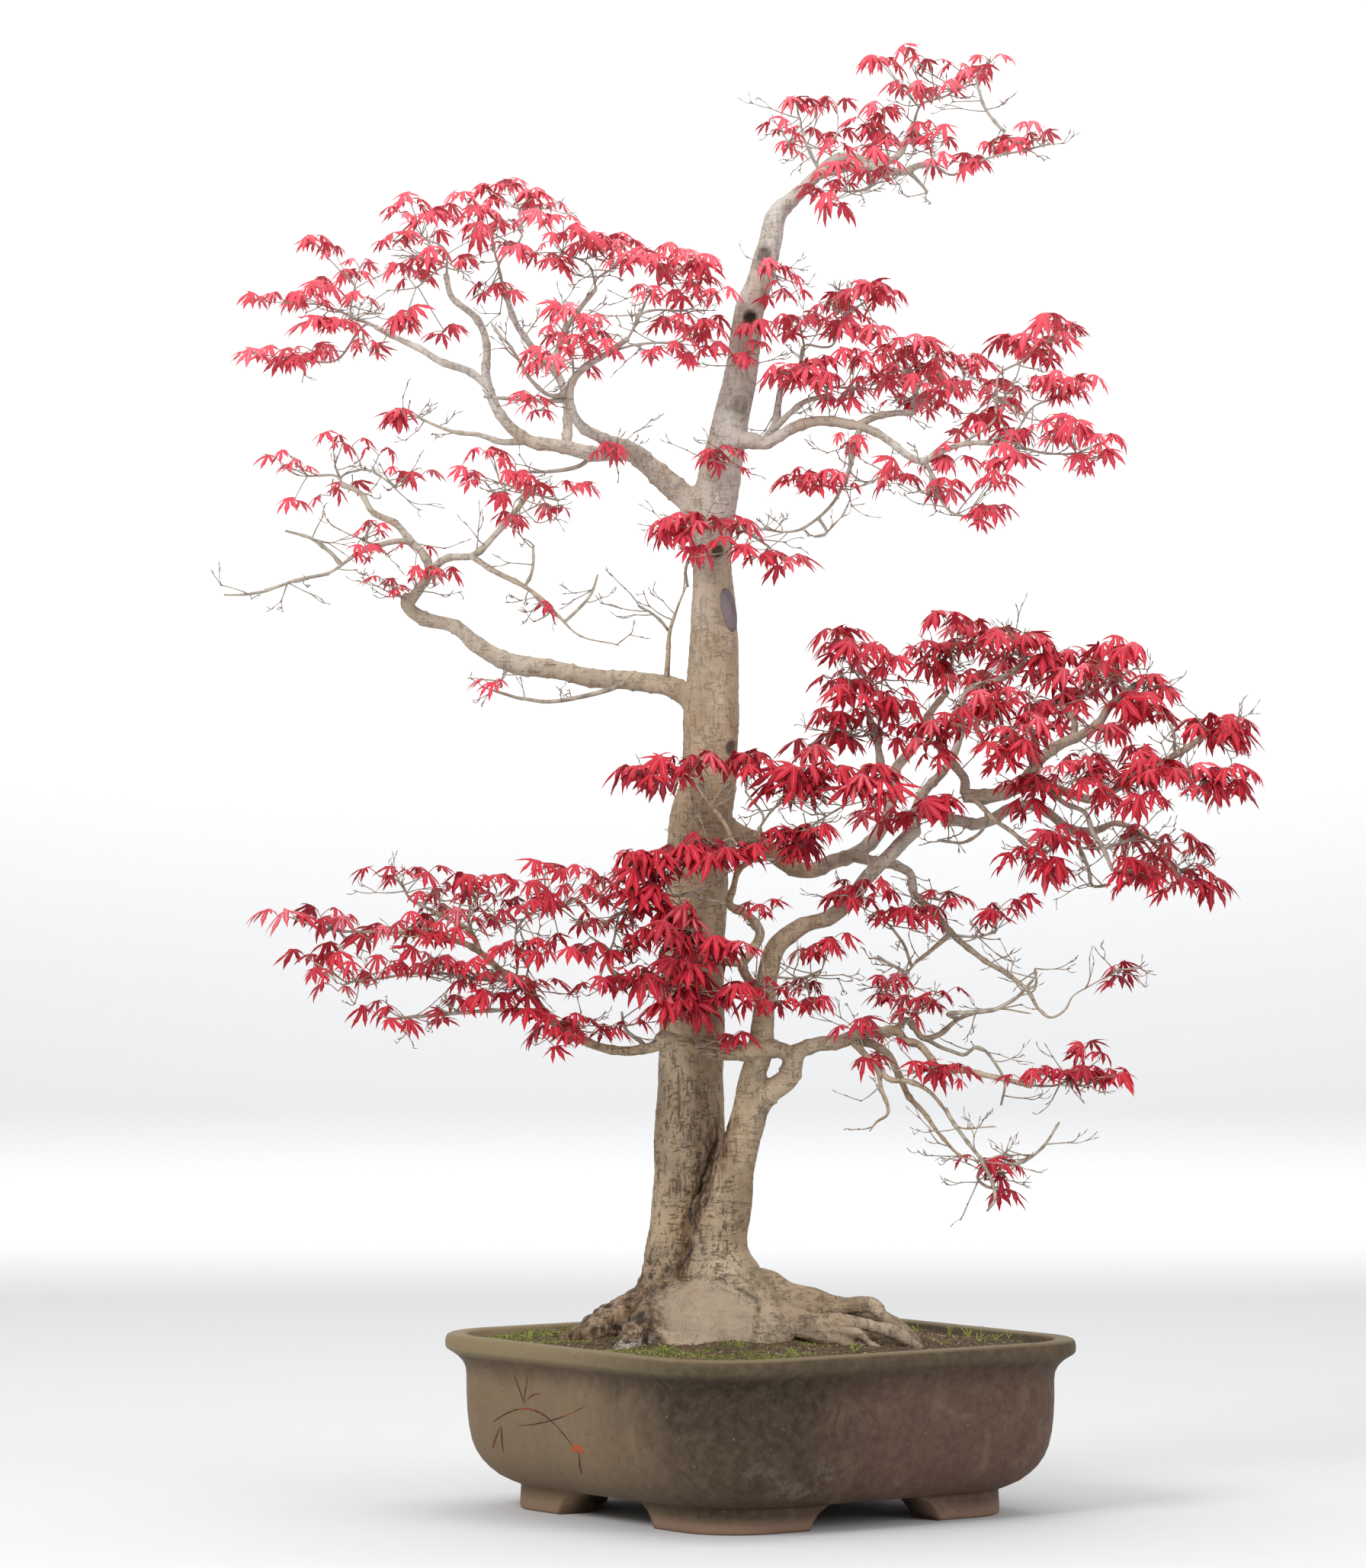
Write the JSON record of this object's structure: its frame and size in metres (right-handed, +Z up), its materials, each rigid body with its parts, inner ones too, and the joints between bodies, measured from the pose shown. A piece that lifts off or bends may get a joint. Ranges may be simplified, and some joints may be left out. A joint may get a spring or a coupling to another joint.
{
  "type": "bonsai tree in pot",
  "caption": "Tall red-leaved Japanese maple bonsai with a straight pale trunk, a smaller trunk fused to it, thin drooping sprays, and a square clay pot.",
  "frame": {"origin": "centre of the bounding box on the plane under the feet of the pot", "axes": "+Z up along the trunk, -Y towards the viewer of the picture, +X to the right of the picture"},
  "size_m": [0.6748, 0.4138, 0.966],
  "materials": {
    "clay": "unglazed, mottled",
    "soil": "earth with moss",
    "bark": "smooth bark with fine cracks",
    "foliage": "thin soft leaves",
    "mesh": "drain mesh"
  },
  "bodies": {
    "root": {"pot": "clay", "soil": "soil", "drain_screen_1": "mesh", "drain_screen_2": "mesh", "wood": "bark", "spray_crown_tip": "foliage", "spray_crown_left": "foliage", "spray_crown_low": "foliage", "spray_crown_right_low": "foliage", "spray_inner_right_high": "foliage", "spray_inner_right_low": "foliage", "spray_right_upper_mass": "foliage", "spray_right_far_high": "foliage", "spray_right_far_middle": "foliage", "spray_right_far_low": "foliage", "spray_right_under": "foliage", "spray_right_hanging": "foliage", "spray_trunk_wound": "foliage", "spray_left_far_tip": "foliage", "spray_left_crown_outer": "foliage", "spray_left_crown_middle": "foliage", "spray_left_crown_inner": "foliage", "spray_left_inner_high": "foliage", "spray_left_knee": "foliage", "spray_middle_left_tip": "foliage", "spray_middle_left_fan": "foliage", "spray_front_high_left": "foliage", "spray_front_high_right": "foliage", "spray_front_middle_right": "foliage", "spray_front_left_twig": "foliage", "spray_front_low_left": "foliage", "spray_second_front": "foliage", "spray_second_right": "foliage", "spray_bend_front": "foliage", "spray_left_pad_middle": "foliage", "spray_left_pad_high": "foliage", "spray_left_pad_back": "foliage", "spray_left_pad_far": "foliage", "spray_left_pad_tip": "foliage", "spray_left_pad_inner": "foliage", "spray_left_pad_west": "foliage", "spray_left_under": "foliage", "spray_pad_left_high": "foliage", "spray_pad_left_low": "foliage", "spray_pad_middle_high": "foliage", "spray_pad_back": "foliage", "spray_pad_front": "foliage", "spray_pad_front_right": "foliage", "spray_pad_back_right": "foliage", "spray_pad_right_high": "foliage", "spray_pad_right_tip": "foliage", "spray_pad_far": "foliage", "spray_pad_low_mass": "foliage", "spray_under_pad": "foliage", "spray_under_pad_right": "foliage", "spray_under_pad_tip": "foliage", "spray_low_right_tip": "foliage"}
  },
  "joints": []
}
